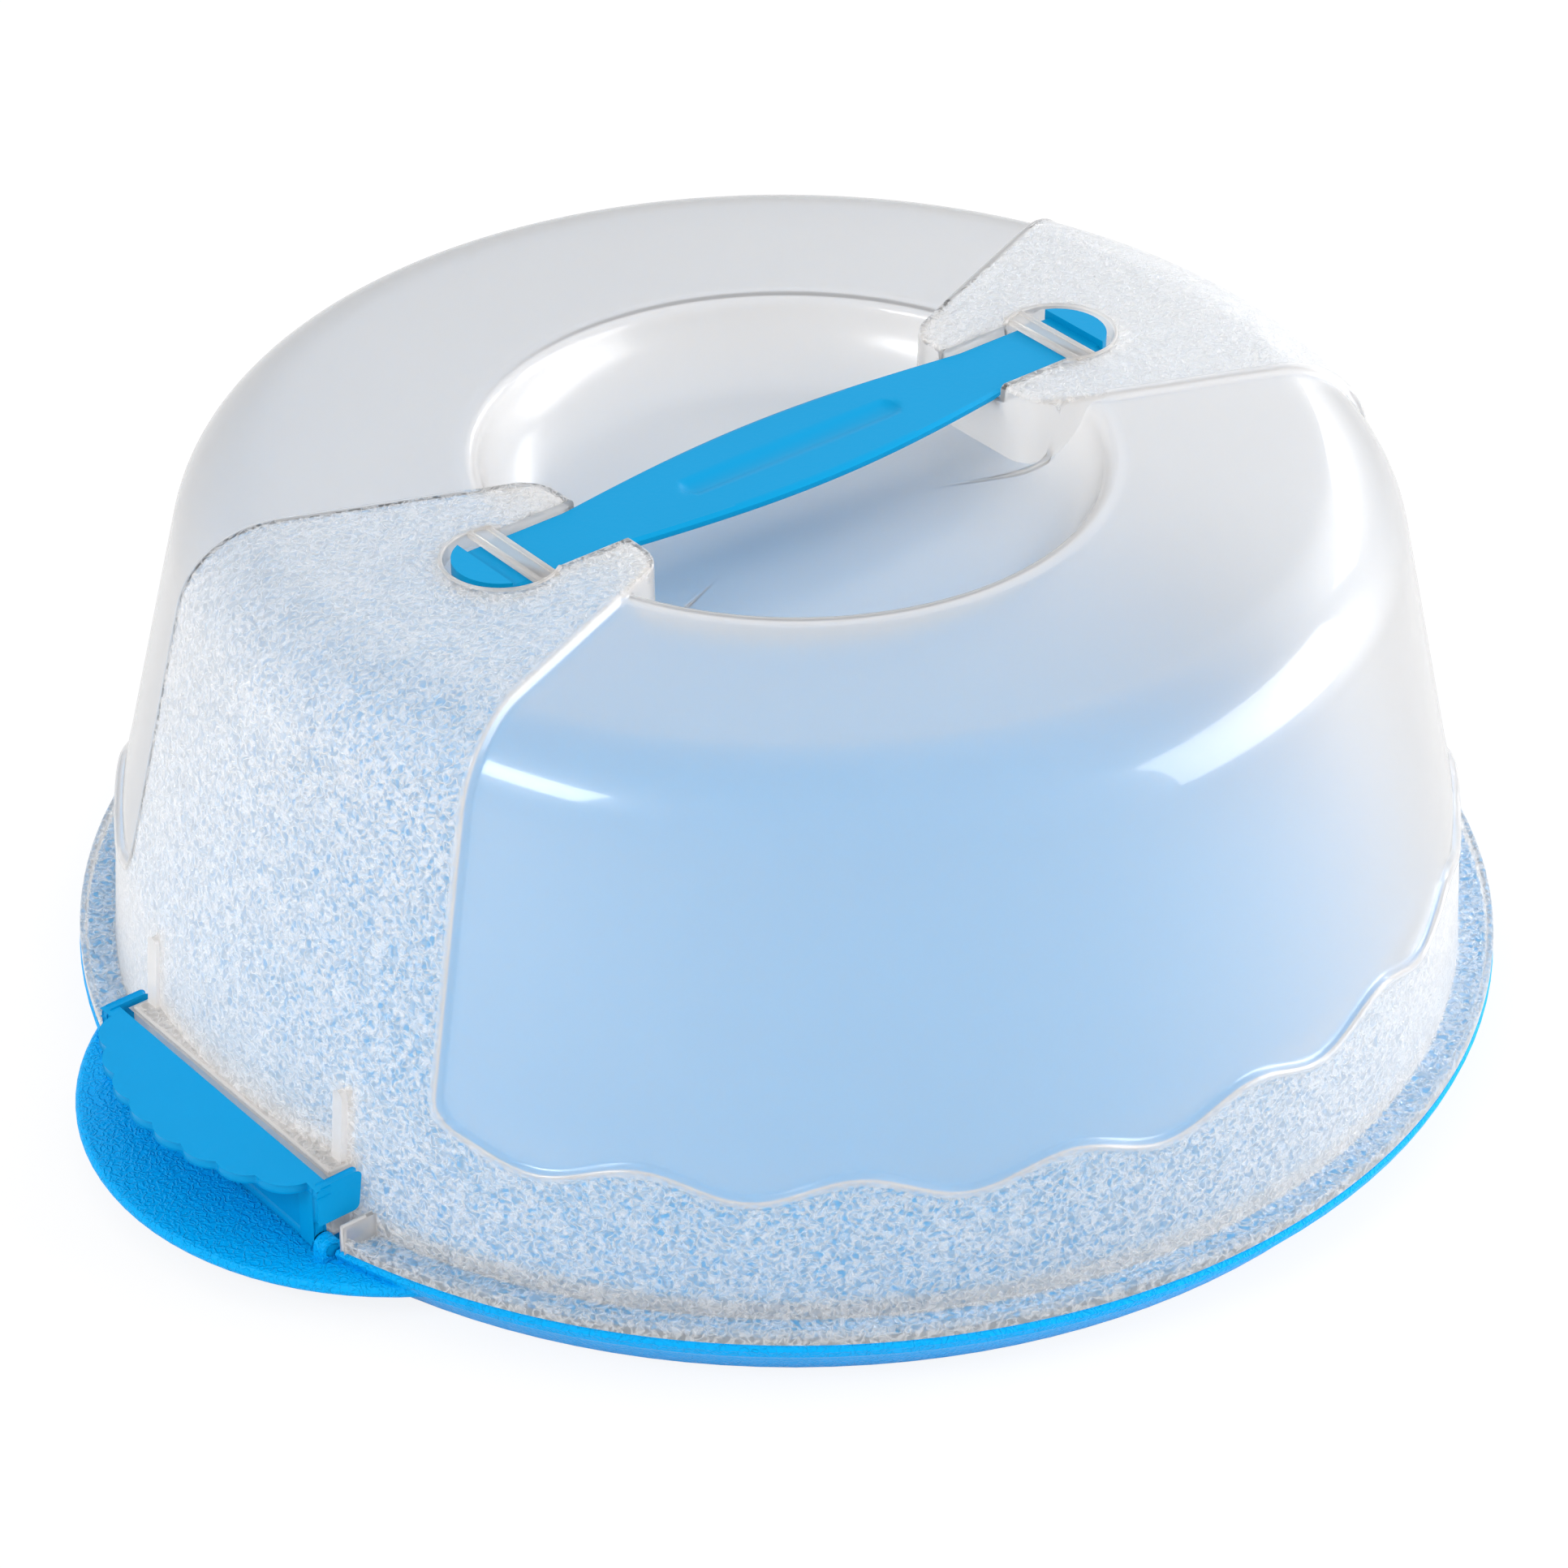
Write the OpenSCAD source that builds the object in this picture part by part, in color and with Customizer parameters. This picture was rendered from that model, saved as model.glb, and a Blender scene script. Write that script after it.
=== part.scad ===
// Round cake carrier. A shallow round tray with a finger lug at each end
// of the X axis, a domed translucent lid that lifts off, two hinged latches
// that close over the lid's ends, and a strap handle that slides under two
// bridges in the lid's crown. The lid is one moulding: the dome, the two
// halves of its lip and the two shelves are parts of it.
// Millimetres. Origin at the centre of the foot, on the table. +Z is up and
// the handle lies along X.

/* [Tray] */
// Outer diameter of the tray's rim
rim_d = 337; // [310:1:370]
// Height of the rim above the table
rim_z = 12; // [9:0.5:16]
// Height of the band that the rim turns down
rim_band = 5.4; // [3:0.2:7]
// How far the foot that the tray stands on lies inside the rim
foot_inset = 8; // [6:0.5:12]
// Wall of the tray
tray_wall = 2.2; // [1.6:0.1:3]
// Gap between the table and the underside of the tray's floor
floor_gap = 3; // [1:0.5:3.5]
// Distance from the rim to the flat floor
floor_inset = 22.5; // [20:0.5:40]
// Diameter of the inner foot ring under the floor
inner_foot_d = 180; // [120:1:240]
// Height of the rib that centres the lid, above the rim
centring_h = 3.4; // [1:0.2:6]

/* [Lugs] */
// How far a finger lug reaches out past the rim
lug_reach = 18.8; // [12:0.2:26]
// Radius of the lug's outline
lug_r = 76; // [70:1:90]
// Thickness of the lug
lug_t = 3; // [2:0.2:4]
// Height of the lug's top above the table
lug_z = 9.3; // [7:0.1:9.6]

/* [Lid] */
// Wall of the lid
lid_wall = 1.5; // [1.2:0.1:2.4]
// Gap between parts that rest on each other
seat_gap = 0.3; // [0.2:0.05:0.5]
// Width of the ledge from the lid's wall to the rim
ledge_w = 8.5; // [7:0.5:12]
// How far the smooth wall leans in between its foot and the knee
knee_in = 4.2; // [3:0.2:8]
// Height of the knee above the lid's foot
knee_h = 37.8; // [30:0.2:48]
// Height of the smooth crown above the lid's foot
crown_h = 122; // [100:1:150]
// Lean of the wall above the knee, in degrees
wall_lean = 12.9; // [8:0.1:15]
// Radius of the shoulder
shoulder_r = 22; // [14:1:28]
// Thickness of the ledge round the foot
ledge_t = 1.2; // [1:0.1:2]
// Height of the lip above the ledge
lip_h = 2.5; // [1.5:0.1:4]
// Thickness of the lip
lip_t = 1.6; // [1.2:0.1:2.4]

/* [Dish] */
// Diameter of the finger dish in the crown
dish_d = 142.8; // [130:0.2:150]
// Depth of the dish
dish_depth = 16; // [14:0.5:20]
// Radius of the cove round the dish's floor
dish_cove = 18; // [12:1:18]
// Steepness of the dish's side, in degrees
dish_steep = 70; // [60:1:80]

/* [Grained panels] */
// Height of the grained surface above the smooth windows
grain_step = 1.6; // [0.8:0.1:1.8]
// Angle that each end panel covers
panel_angle = 44; // [40:1:50]
// How far a panel's platform stands out over the dish
platform_out = 17.4; // [12:0.2:22]
// Radius of the platform's corners
platform_round = 8; // [4:1:10]
// Waves along the edge of one window
waves = 8; // [6:1:10]
// Height of a wave, from hollow to crest
wave_h = 5.8; // [3:0.2:8]
// Height of the wave's middle above the lid's foot
wave_mid = 33.2; // [28:0.2:36]

/* [Latch] */
// Half width of the lid's shelf behind the latch
shelf_half = 38.6; // [32:0.2:42]
// How far the shelf's front stands out past the lid's wall
shelf_out = 0.4; // [0.2:0.1:1]
// Height of the shelf's top above the lid's foot
shelf_h = 16.8; // [14:0.2:20]
// Wall of the latch
latch_wall = 2; // [1.6:0.1:2.4]
// Gap between the shelf's front and the latch
latch_gap = 1.6; // [1.4:0.1:2]
// Height of the latch's plate over the shelf's top
plate_rise = 0; // [0:0.1:2]
// How far the plate reaches out past the latch's flap
plate_reach = 17; // [14:0.2:17.4]
// Lobes along the plate's edge
lobes = 8; // [5:1:9]
// Depth of the hollows between the lobes
lobe_depth = 1.6; // [1:0.1:2]
// Height of the cheek at each end of the latch
cheek_h = 9.4; // [7:0.2:11]
// Gap between the shelf's end and the cheek
cheek_gap = 1.7; // [1.2:0.1:2.2]
// Gap beside the cheek's inner edge and the lid's wall
cheek_clear = 0.8; // [0.4:0.1:1.5]
// Radius of the latch's hinge barrel
barrel_r = 2.1; // [1.9:0.1:2.2]
// Gap between the barrel and the lug under it
barrel_gap = 0.6; // [0.4:0.1:0.8]
// Radius of the stub pin at each end of the barrel
pin_r = 1.3; // [1:0.1:1.5]
// Length of the stub pin
pin_len = 4; // [3:0.2:4]
// Radial clearance of the stub pin in its ear
pin_clear = 0.08; // [0.05:0.01:0.1]
// Thickness of the hinge ear on the tray
ear_t = 3.6; // [3:0.2:4]
// Gap between the ear and the latch's end
ear_gap = 0.4; // [0.3:0.1:0.6]

/* [Handle] */
// Width of the strap where it passes under a bridge
strap_end_w = 18.6; // [14:0.2:20]
// Width of the strap at its middle
strap_mid_w = 29.6; // [24:0.2:34]
// Thickness of the strap's web
strap_t = 1.6; // [1.2:0.1:2]
// Thickness of the stiff grip between the ends
grip_t = 2.4; // [2:0.1:3.2]
// Gap between the grip's end and the panel's platform
grip_gap = 2; // [1:0.5:6]
// Length of the groove in the grip
groove_l = 62; // [40:1:70]
// Width of the groove in the grip
groove_w = 6; // [4:0.5:8]
// Depth of the groove in the grip
groove_d = 0.8; // [0.4:0.1:1]
// Distance from the dish's rim to the bridge's inner edge
bridge_in = 4.1; // [2:0.1:8]
// Width of the bridge along the strap
bridge_w = 5.8; // [4:0.2:8]
// Thickness of the bridge
bridge_t = 1.5; // [1.2:0.1:2]
// Slack between the bridge and the strap's stop
stop_slack = 4.7; // [3:0.1:5]
// Radius of the strap's half-round stop
stop_r = 11; // [10:0.2:12]
// Length of the half-round stop
stop_l = 6.6; // [5:0.2:7]
// Height of the stop over the strap's web
stop_rise = 1.7; // [1:0.1:2]
// Gap round the strap in its pocket
pocket_gap = 1; // [0.5:0.1:1.6]
// Gap over and under the strap
strap_gap = 0.3; // [0.2:0.05:0.5]

/* [Hidden] */
$fn = 96;
// small overlap that lets two solids of one piece fuse
fuse = 0.4;
// hairline between the parts that the lid's moulding is drawn in
seam = 0.05;
// steps in which an arc of a turned profile is drawn
arc_steps = 7;
wave_steps = 10;

blue = "#00A0E0";
clear_pp = [0.86, 0.90, 0.93, 0.55];

rim_r = rim_d / 2;
foot_r = rim_r - foot_inset;
floor_z = floor_gap + tray_wall;
floor_r = rim_r - floor_inset;
lid_z = rim_z + seat_gap;
wall_foot_r = rim_r - ledge_w;
knee_r = wall_foot_r - knee_in;
knee_z = lid_z + knee_h;
crown_z = lid_z + crown_h;
lip_z = lid_z + ledge_t + lip_h;
lip_r = rim_r - seat_gap;
shoulder_z = crown_z - shoulder_r;
shoulder_x = knee_r - (shoulder_z - knee_z) * tan(wall_lean)
             - shoulder_r / cos(wall_lean);
dish_floor_z = crown_z - dish_depth;
dish_side_h = dish_depth - dish_cove * (1 - cos(dish_steep));
dish_floor_r = dish_d / 2 - dish_cove * sin(dish_steep)
               - dish_side_h / tan(dish_steep);

centring_t = 2;
centring_r = wall_foot_r - grain_step - lid_wall - 0.6;

shelf_z = lid_z + shelf_h;
shelf_x = wall_foot_r + shelf_out;
latch_in = shelf_x + latch_gap;
latch_out = latch_in + latch_wall;
plate_z = shelf_z + plate_rise;
pivot_x = shelf_x + seat_gap + barrel_r + 0.1;
pivot_z = lug_z + barrel_gap + barrel_r;
cheek_y = shelf_half + cheek_gap;
latch_half = cheek_y + latch_wall;
barrel_half = shelf_half + ear_gap;
ear_y = barrel_half + ear_gap;
ear_r = pin_r + 1.3;
bay_x = shelf_x - 4.6;
bay_half = ear_y + ear_t + 0.6;
fin_y = max(latch_half, ear_y + ear_t) + 1.8;
fin_t = 1.4;
fin_h = 9.3;
lobe_chord = 2 * latch_half / lobes;
lobe_r = (pow(lobe_chord / 2, 2) + pow(lobe_depth, 2)) / (2 * lobe_depth);
plate_out = latch_out + plate_reach;
plate_sag = plate_out - latch_out - 1.5;
plate_arc = (pow(latch_half, 2) + pow(plate_sag, 2)) / (2 * plate_sag);

panel_half = panel_angle / 2;
platform_x = dish_d / 2 - platform_out;
rib_t = 2.8;
rib_h = 18;
rib_step = 1.3;
wave_arc = (180 - panel_angle) / waves;
wave_r = knee_r + grain_step;
wave_w = 2 * wave_r * tan(wave_arc / 2);
wave_z = lid_z + wave_mid;

bridge_x = dish_d / 2 + bridge_in;
bridge_top = crown_z + grain_step + 0.4;
bridge_under = bridge_top - bridge_t;
strap_top = bridge_under - strap_gap;
strap_under = strap_top - strap_t;
pocket_z = strap_under - strap_gap - 0.3;
bridge_end = bridge_x + bridge_w;
stop_x = bridge_end + stop_slack;
stop_mid = stop_x + stop_l - stop_r;
pocket_r = stop_r + pocket_gap + 0.8;
pocket_half = strap_end_w / 2 + pocket_gap;
strap_swell = (strap_mid_w - strap_end_w) / 2;
grip_half = platform_x - grip_gap;
swell_half = grip_half + 6;

// points of an arc of a turned profile, from angle a0 to a1
function arc(x, z, r, a0, a1) =
    [for (i = [0:arc_steps]) let (a = a0 + (a1 - a0) * i / arc_steps)
        [x + r * cos(a), z + r * sin(a)]];

// outer line of the lid's wall and shoulder, moved outwards by o
function wall_line(o, low) = concat(
    [[wall_foot_r - grain_step + o, low],
     [knee_r + o, knee_z]],
    arc(shoulder_x, shoulder_z, shoulder_r + o, wall_lean, 90));

// line down the dish to the axis, moved outwards by o
function dish_line(o) =
    let (side = dish_floor_r + (dish_cove - o) * sin(dish_steep),
         top = dish_floor_z + dish_cove - (dish_cove - o) * cos(dish_steep))
    concat(
        [[side + (crown_z + o - top) / tan(dish_steep), crown_z + o]],
        arc(dish_floor_r, dish_floor_z + dish_cove, dish_cove - o,
            dish_steep - 90, -90),
        [[0, dish_floor_z + o]]);

function dome_profile(o, low) = concat([[0, low]], wall_line(o, low), dish_line(o));
function cap_profile(o, low) =
    concat([[0, low]], wall_line(o, low), [[0, crown_z + o]]);

// half width of the strap at the distance x from its middle
function strap_half(x) =
    strap_end_w / 2 + strap_swell * cos(90 * min(1, abs(x) / swell_half));

module both_ends() {
    for (turn = [0, 180])
        rotate([0, 0, turn])
            children();
}

module both_sides() {
    children();
    mirror([0, 1, 0])
        children();
}

// box from its low corner to its high corner
module block(low, high) {
    translate(low)
        cube(high - low);
}

// Tray

// outer line of the tray from the foot up to the rim
function tray_line() = [
    [foot_r, 0],
    [rim_r - 3.6, rim_z - rim_band - 0.4],
    [rim_r - 3.1, rim_z - rim_band],
    [rim_r - 0.7, rim_z - rim_band * 0.55],
    [rim_r, rim_z - 1],
    [rim_r - 0.4, rim_z]];

module tray_ring() {
    under = rim_z - tray_wall;
    rotate_extrude($fn = 180)
        polygon(concat(
            tray_line(),
            [[centring_r, rim_z],
             [centring_r - 0.3, rim_z + centring_h],
             [centring_r - centring_t, rim_z + centring_h],
             [centring_r - centring_t - 1, rim_z],
             [floor_r + 3, floor_z + 0.8],
             [floor_r, floor_z],
             [floor_r - 1, floor_z],
             [floor_r - 1, floor_gap],
             [floor_r + 3, floor_gap],
             [centring_r - centring_t + 1.6, under],
             [rim_r - tray_wall - 2.8, under],
             [foot_r - tray_wall, 0]]));
}

module tray_floor() {
    translate([0, 0, floor_gap])
        cylinder(h = tray_wall, r = floor_r - 0.5, $fn = 180);
    difference() {
        cylinder(h = floor_gap + fuse, d = inner_foot_d);
        translate([0, 0, -fuse])
            cylinder(h = floor_gap + 3 * fuse, d = inner_foot_d - 2 * tray_wall);
    }
}

module lug() {
    centre = rim_r + lug_reach - lug_r;
    edge = lug_t / 2;
    difference() {
        translate([centre, 0, lug_z - lug_t])
            rotate_extrude($fn = 120)
                polygon(concat(
                    [[0, 0]],
                    arc(lug_r - edge, edge, edge, -90, 90),
                    [[0, lug_t]]));
        translate([0, 0, lug_z - lug_t - fuse])
            cylinder(h = lug_t + 2 * fuse, r = foot_r + 2.4, $fn = 180);
    }
}

// upright ear on the tray that carries one end of a latch
module hinge_ear() {
    difference() {
        union() {
            block([pivot_x - ear_r, ear_y, lug_z - fuse],
                  [pivot_x + ear_r, ear_y + ear_t, pivot_z]);
            translate([pivot_x, ear_y, pivot_z])
                rotate([-90, 0, 0])
                    cylinder(h = ear_t, r = ear_r);
        }
        translate([pivot_x, ear_y - fuse, pivot_z])
            rotate([-90, 0, 0])
                cylinder(h = ear_t + 2 * fuse, r = pin_r + pin_clear);
    }
}

// solid end of the tray that the hinge's bay is sunk into
module hinge_deck() {
    deck_half = bay_half + 2;
    intersection() {
        block([bay_x - 2, -deck_half, lug_z - lug_t],
              [rim_r + 1, deck_half, rim_z]);
        rotate_extrude($fn = 180)
            polygon(concat([[0, 0]], tray_line(), [[0, rim_z]]));
    }
}

// bay in the rim where a latch and its ears stand
module hinge_bay() {
    block([bay_x, -bay_half, lug_z],
          [rim_r + lug_reach, bay_half, rim_z + centring_h + 1]);
}

// round stub under each end of the hinge
module hinge_foot() {
    translate([rim_r - 12.3, ear_y + ear_t + 2, 0])
        cylinder(h = lug_z - fuse, r = 3.2);
}

module base_tray() {
    color(blue) {
        difference() {
            union() {
                tray_ring();
                tray_floor();
                both_ends() {
                    lug();
                    hinge_deck();
                    both_sides()
                        hinge_foot();
                }
            }
            both_ends()
                hinge_bay();
        }
        both_ends()
            both_sides()
                hinge_ear();
    }
}

// Lid

// outline of a panel seen from above, drawn in by d
module panel_plan(d) {
    reach = wall_foot_r + 4;
    slant = d / cos(panel_half);
    far = reach * tan(panel_half) - slant;
    round_r = platform_round - d;
    mid_x = platform_x + d + round_r;
    mid_y = mid_x * tan(panel_half) - slant - round_r / cos(panel_half);
    polygon(concat(
        arc(mid_x, -mid_y, round_r, 270 - panel_half, 180),
        arc(mid_x, mid_y, round_r, 180, 90 + panel_half),
        [[reach, far], [reach, -far]]));
}

// raised panel from the dish down to the foot, drawn in by d
module panel(d) {
    intersection() {
        rotate_extrude($fn = 180)
            polygon(cap_profile(grain_step - d, lid_z - (d > 0 ? 1 : 0)));
        translate([0, 0, lid_z - 2])
            linear_extrude(height = crown_h + 10)
                panel_plan(d);
    }
}

// one wave of the window's edge, as everything that lies above the wave
module wave_cut(turn) {
    rotate([0, 0, turn])
        translate([wave_r - 12, 0, wave_z])
            rotate([90, 0, 90])
                linear_extrude(height = 30)
                    polygon(concat(
                        [for (i = [-wave_steps / 2:wave_steps / 2])
                            let (s = i / wave_steps)
                            [s * wave_w * 1.002, wave_h / 2 * cos(360 * s)]],
                        [[wave_w / 2, 20], [-wave_w / 2, 20]]));
}

// raised band round the foot, with a wavy upper edge under each window
module grain_band() {
    top = wave_z + wave_h / 2 + 1;
    difference() {
        intersection() {
            rotate_extrude($fn = 180)
                polygon(cap_profile(grain_step, lid_z));
            translate([0, 0, lid_z - 1])
                cylinder(h = top - lid_z + 1, r = rim_r, $fn = 180);
        }
        for (side = [0, 180])
            for (k = [0:waves - 1])
                wave_cut(side + panel_half + (k + 0.5) * wave_arc);
    }
}

// outer radius of the lid's grained wall near its foot
function wall_out(z) =
    wall_foot_r - (z - lid_z) * (wall_foot_r - knee_r - grain_step) / knee_h;

// everything inside the lid's wall, grown by a hairline
module wall_core() {
    rotate_extrude($fn = 180)
        polygon([
            [0, lid_z - 1],
            [wall_out(lid_z - 1) + seam, lid_z - 1],
            [wall_out(knee_z) + seam, knee_z],
            [0, knee_z]]);
}

// upright wall that closes the ledge beside the latch
module end_fin() {
    intersection() {
        block([shelf_x - 20, fin_y, lid_z], [rim_r, fin_y + fin_t, lid_z + fin_h]);
        cylinder(h = lid_z + fin_h + 1, r = lip_r, $fn = 180);
    }
}

// ledge and lip round one half of the foot, with a fin at each end
module lip() {
    color(clear_pp)
        difference() {
            union() {
                intersection() {
                    rotate_extrude($fn = 180)
                        polygon([
                            [wall_foot_r - 4, lid_z],
                            [lip_r, lid_z],
                            [lip_r, lip_z - 0.4],
                            [lip_r - 0.4, lip_z],
                            [lip_r - lip_t + 0.4, lip_z],
                            [lip_r - lip_t, lip_z - 0.4],
                            [lip_r - lip_t, lid_z + ledge_t],
                            [wall_foot_r - 4, lid_z + ledge_t]]);
                    block([-rim_r, fin_y, lid_z - 1], [rim_r, rim_r, lip_z + 1]);
                }
                end_fin();
                mirror([1, 0, 0])
                    end_fin();
            }
            wall_core();
        }
}

module lip_front() {
    rotate([0, 0, 180])
        lip();
}

module lip_back() {
    lip();
}

// short upright rib over each end of the shelf
module shelf_rib() {
    intersection() {
        rotate_extrude($fn = 180)
            polygon(cap_profile(grain_step + rib_step, lid_z));
        block([shelf_x - 30, shelf_half - 4, shelf_z - fuse],
              [shelf_x, shelf_half - 4 + rib_t, shelf_z + rib_h]);
    }
}

// flat-fronted shelf behind the latch
module shelf() {
    color(clear_pp)
        difference() {
            union() {
                block([shelf_x - 20, -shelf_half, lid_z], [shelf_x, shelf_half, shelf_z]);
                both_sides()
                    shelf_rib();
            }
            wall_core();
        }
}

module shelf_left() {
    rotate([0, 0, 180])
        shelf();
}

module shelf_right() {
    shelf();
}

// outline of the pocket that holds one end of the strap, widened by d
module pocket_plan(d) {
    translate([stop_mid, 0])
        circle(r = pocket_r + d);
    translate([platform_x - 8, -pocket_half - d])
        square([stop_mid - platform_x + 8, 2 * (pocket_half + d)]);
}

module pocket(d, low, high) {
    translate([0, 0, low])
        linear_extrude(height = high - low)
            pocket_plan(d);
}

// bridge that the strap slides under, with a bead along each edge
module bridge() {
    half = pocket_r + 0.4;
    block([bridge_x, -half, bridge_under], [bridge_end, half, bridge_top - 0.4]);
    for (x = [bridge_x, bridge_end - 1.2])
        block([x, -half, bridge_under], [x + 1.2, half, bridge_top]);
}

module lid_outside() {
    rotate_extrude($fn = 180)
        polygon(dome_profile(0, lid_z));
    grain_band();
    both_ends()
        panel(0);
}

module lid_inside() {
    difference() {
        union() {
            rotate_extrude($fn = 180)
                polygon(dome_profile(-lid_wall, lid_z - 1));
            both_ends()
                panel(lid_wall);
        }
        both_ends()
            intersection() {
                pocket(lid_wall, pocket_z - lid_wall, crown_z + 5);
                translate([0, 0, pocket_z - 5])
                    linear_extrude(height = 20)
                        panel_plan(0);
            }
    }
}

module dome_lid() {
    color(clear_pp) {
        difference() {
            lid_outside();
            lid_inside();
            both_ends()
                pocket(0, pocket_z, crown_z + 10);
        }
        both_ends()
            bridge();
    }
}

// Latch

// scalloped outline of the finger plate
module plate_plan() {
    centre = plate_out - plate_arc;
    step = 2 * asin(lobe_chord / (2 * plate_arc)) * 0.99;
    intersection() {
        union() {
            for (k = [0:lobes - 1]) {
                turn = (k - (lobes - 1) / 2) * step;
                translate([centre + (plate_arc - lobe_r) * cos(turn),
                           (plate_arc - lobe_r) * sin(turn)])
                    circle(r = lobe_r, $fn = 72);
            }
            translate([latch_in, -latch_half])
                square([latch_wall + 1.5, 2 * latch_half]);
        }
        translate([latch_in, -latch_half])
            square([plate_reach + 10, 2 * latch_half]);
    }
}

// flap profile seen along the hinge, from the barrel to the plate
module flap() {
    translate([0, barrel_half, 0])
        rotate([90, 0, 0])
            linear_extrude(height = 2 * barrel_half)
                union() {
                    translate([pivot_x, pivot_z])
                        circle(r = barrel_r, $fn = 48);
                    polygon([
                        [latch_in, pivot_z - 0.4],
                        [latch_out + 0.7, pivot_z],
                        [latch_out, pivot_z + 3.4],
                        [latch_out, plate_z],
                        [latch_in, plate_z]]);
                }
}

// place of the cheek's edge beside the lid's leaning wall, at the height z
function cheek_edge(z) = sqrt(pow(wall_out(z), 2) - pow(cheek_y, 2)) + cheek_clear;

// end wall of the latch that reaches in beside the shelf
module cheek() {
    low = plate_z - cheek_h;
    round_r = 1.2;
    foot_x = cheek_edge(low) + round_r;
    head_x = cheek_edge(plate_z) + round_r;
    translate([0, latch_half, 0])
        rotate([90, 0, 0])
            linear_extrude(height = latch_wall)
                polygon(concat(
                    [[latch_out, low], [latch_out, plate_z]],
                    arc(head_x, plate_z - round_r, round_r, 90, 180),
                    arc(foot_x, low + round_r, round_r, 180, 270)));
    block([latch_in, barrel_half - 4, low], [latch_out, latch_half, plate_z]);
}

// pillar at each end of the flap, and the rib that props the plate
module pillar() {
    block([latch_in, barrel_half - 4, pivot_z], [latch_out + 0.7, barrel_half, plate_z - 1]);
    translate([0, barrel_half - 1, 0])
        rotate([90, 0, 0])
            linear_extrude(height = 2)
                polygon([
                    [latch_out, plate_z - 8], [latch_out + 5, plate_z - 1],
                    [latch_out, plate_z - 1]]);
}

module latch() {
    color(blue) {
        flap();
        translate([0, 0, plate_z - latch_wall])
            linear_extrude(height = latch_wall)
                plate_plan();
        both_sides() {
            cheek();
            pillar();
            translate([pivot_x, barrel_half - fuse, pivot_z])
                rotate([-90, 0, 0])
                    cylinder(h = pin_len + fuse, r = pin_r);
        }
    }
}

module latch_left() {
    rotate([0, 0, 180])
        latch();
}

module latch_right() {
    latch();
}

// Handle

// outline of the grip, widest at its middle
module grip_plan() {
    step = grip_half / 13;
    xs = [for (i = [-13:13]) i * step];
    polygon(concat(
        [for (x = xs) [x, strap_half(x)]],
        [for (i = [len(xs) - 1:-1:0]) [xs[i], -strap_half(xs[i])]]));
}

module strap_grip() {
    color(blue)
        difference() {
            translate([0, 0, strap_top - grip_t])
                linear_extrude(height = grip_t)
                    grip_plan();
            translate([0, 0, strap_top - groove_d]) {
                block([-groove_l / 2 + groove_w / 2, -groove_w / 2, 0],
                      [groove_l / 2 - groove_w / 2, groove_w / 2, 2]);
                for (x = [-1, 1])
                    translate([x * (groove_l - groove_w) / 2, 0, 0])
                        cylinder(h = 2, d = groove_w);
            }
        }
}

// thin end of the strap with its half-round stop
module strap_end() {
    near = grip_half + 0.02;
    color(blue) {
        block([near, -strap_end_w / 2, strap_under], [stop_x + 1, strap_end_w / 2, strap_top]);
        intersection() {
            translate([stop_mid, 0, strap_under])
                cylinder(h = strap_t + stop_rise, r = stop_r);
            block([stop_x, -stop_r, strap_under - 1],
                  [stop_x + stop_l, stop_r, strap_top + stop_rise + 1]);
        }
    }
}

module strap_end_left() {
    rotate([0, 0, 180])
        strap_end();
}

module strap_end_right() {
    strap_end();
}

base_tray();
dome_lid();
lip_front();
lip_back();
shelf_left();
shelf_right();
latch_left();
latch_right();
strap_grip();
strap_end_left();
strap_end_right();
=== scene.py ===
# %% [markdown]
# # A round cake carrier
#
# The object is a shallow blue tray, a translucent dome that stands on its rim,
# a hinged latch at each end and a strap handle that slides under two bridges in
# the dome. All of it is injection-moulded polypropylene. The imported CAD model
# gives the sizes and the moving bodies; this lesson gives it its looks.
#
# First comes the frame.

import math

import bmesh
import bpy
from mathutils import Matrix, Vector
from mathutils.kdtree import KDTree


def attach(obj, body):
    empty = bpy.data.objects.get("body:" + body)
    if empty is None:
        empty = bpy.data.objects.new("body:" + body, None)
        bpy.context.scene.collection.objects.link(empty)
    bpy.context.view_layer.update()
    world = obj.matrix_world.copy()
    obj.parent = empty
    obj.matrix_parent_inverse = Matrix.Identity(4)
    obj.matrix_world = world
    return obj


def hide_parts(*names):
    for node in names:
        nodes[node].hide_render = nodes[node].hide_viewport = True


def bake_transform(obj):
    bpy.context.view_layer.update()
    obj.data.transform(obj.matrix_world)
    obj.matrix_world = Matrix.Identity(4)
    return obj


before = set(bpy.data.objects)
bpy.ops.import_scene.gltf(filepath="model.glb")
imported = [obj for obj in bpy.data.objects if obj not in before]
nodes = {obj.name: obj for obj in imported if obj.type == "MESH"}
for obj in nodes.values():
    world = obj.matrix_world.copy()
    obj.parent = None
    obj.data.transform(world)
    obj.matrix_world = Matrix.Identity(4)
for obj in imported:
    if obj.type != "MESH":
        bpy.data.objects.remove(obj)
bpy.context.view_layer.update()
MM = 0.001

# %% [markdown]
# ## The camera
#
# The picture was taken from a little over a metre away, 36 degrees above the
# table, with a long lens. These numbers come from fitting a pinhole camera to
# the curves of the rim, the dome and the dish.

# %% Camera
def aim(eye, target, roll):
    """Rotation that looks from eye to target, turned by roll about the line of sight."""
    look = (target - eye).to_track_quat("-Z", "Y")
    return look @ Matrix.Rotation(roll, 4, "Z").to_quaternion()


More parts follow.
